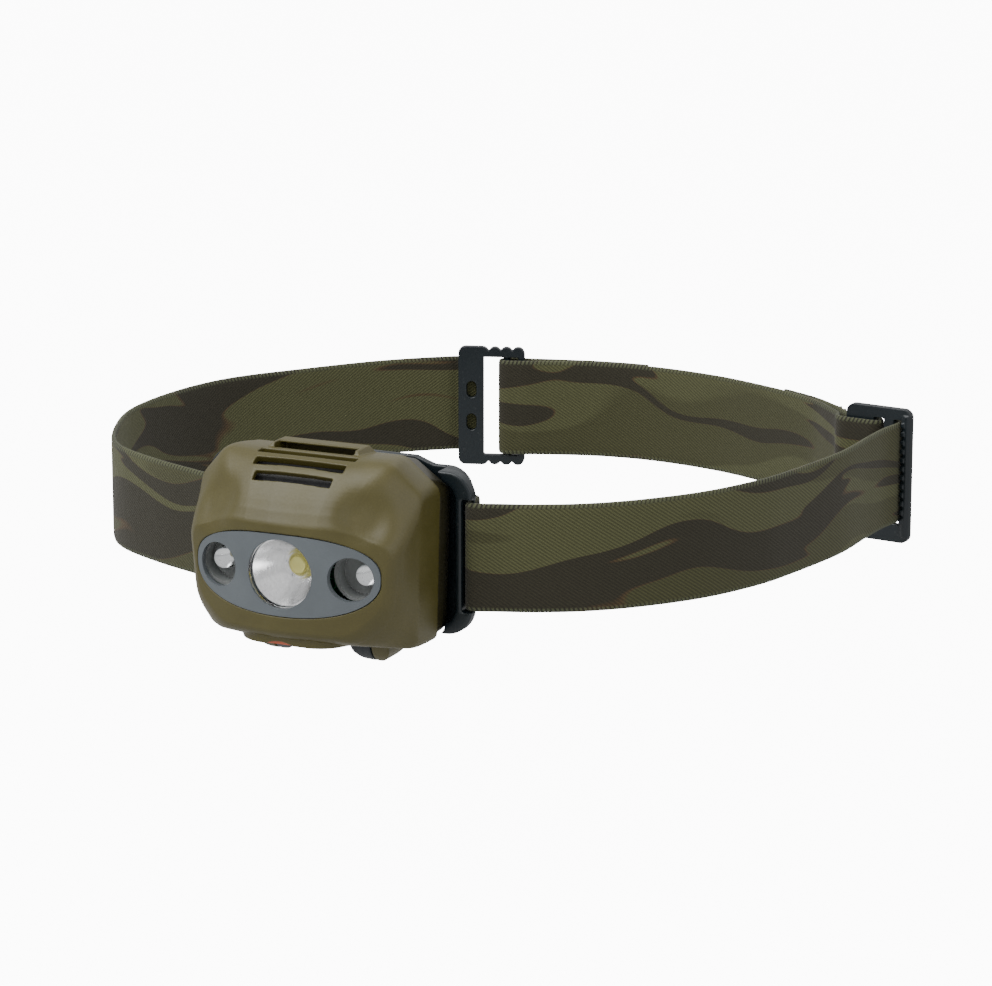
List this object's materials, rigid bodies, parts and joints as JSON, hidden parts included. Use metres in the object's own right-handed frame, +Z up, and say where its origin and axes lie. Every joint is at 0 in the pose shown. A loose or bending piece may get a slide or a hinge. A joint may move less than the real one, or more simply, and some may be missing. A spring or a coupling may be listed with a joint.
{
  "type": "headlamp",
  "caption": "Headlamp with an olive case, a main light between two small ones, a button underneath, a tilting bracket and a patterned adjustable head band.",
  "frame": {"origin": "midway between the bracket's two strap slots, at the middle of the webbing's height", "axes": "+X to the lamp's left as worn, -Y the way the lamp shines, +Y to the back of the head, +Z up"},
  "size_m": [0.184, 0.1855, 0.0507],
  "materials": {
    "shell": "satin, lightly textured",
    "cover": "satin, lightly textured",
    "bezel": "satin",
    "window": "clear",
    "mirror_bowl": "polished",
    "yellow_chip": "gloss",
    "circuit": "satin",
    "cup_plastic": "satin",
    "clear_dome": "clear",
    "dark_plastic": "satin",
    "button_plastic": "satin",
    "seal_rubber": "matte",
    "cell_sleeve": "satin sleeve",
    "contact_metal": "bright",
    "pin_metal": "satin",
    "slate_plastic": "satin",
    "webbing": "woven, patterned in browns and olives",
    "thread": "matte"
  },
  "bodies": {
    "headband": {"bracket": "slate_plastic", "hinge_pin": "pin_metal", "front_strap": "webbing", "back_strap": "webbing", "strap_stitching": "thread", "slider": "slate_plastic", "ladder_buckle": "slate_plastic"},
    "cover": {"battery_cover": "cover", "seal_ring": "seal_rubber"},
    "lamp_housing": {"front_shell": "shell", "bezel": "bezel", "main_lens": "window", "reflector": "mirror_bowl", "main_led": "yellow_chip", "led_board": "circuit", "led_cup_left": "cup_plastic", "led_cup_right": "cup_plastic", "side_led_left": "clear_dome", "side_led_right": "clear_dome", "vent_baffle": "dark_plastic", "circuit_board": "circuit", "tact_switch": "dark_plastic", "button_seal": "seal_rubber", "battery_tray": "dark_plastic", "battery_upper": "cell_sleeve", "battery_front": "cell_sleeve", "battery_lower": "cell_sleeve", "contact_plates": "contact_metal", "contact_springs": "contact_metal", "board_screws": "contact_metal"},
    "button": {"power_button": "button_plastic", "switch_plunger": "button_plastic"}
  },
  "joints": [
    {"name": "tilt", "type": "hinge", "parent": "headband", "child": "cover", "pos_m": [0, -0.0055, -0.02], "axis": [1, 0, 0], "range_deg": [0, 45]},
    {"name": "case_open", "type": "hinge", "parent": "cover", "child": "lamp_housing", "pos_m": [0, -0.0055, -0.02], "axis": [1, 0, 0], "range_deg": [0, 75]},
    {"name": "button_press", "type": "slide", "parent": "lamp_housing", "child": "button", "axis": [0, 0, 1], "range_m": [0, 0.0008], "stiffness_N_per_m": 2500, "springref_m": -0.0002}
  ]
}
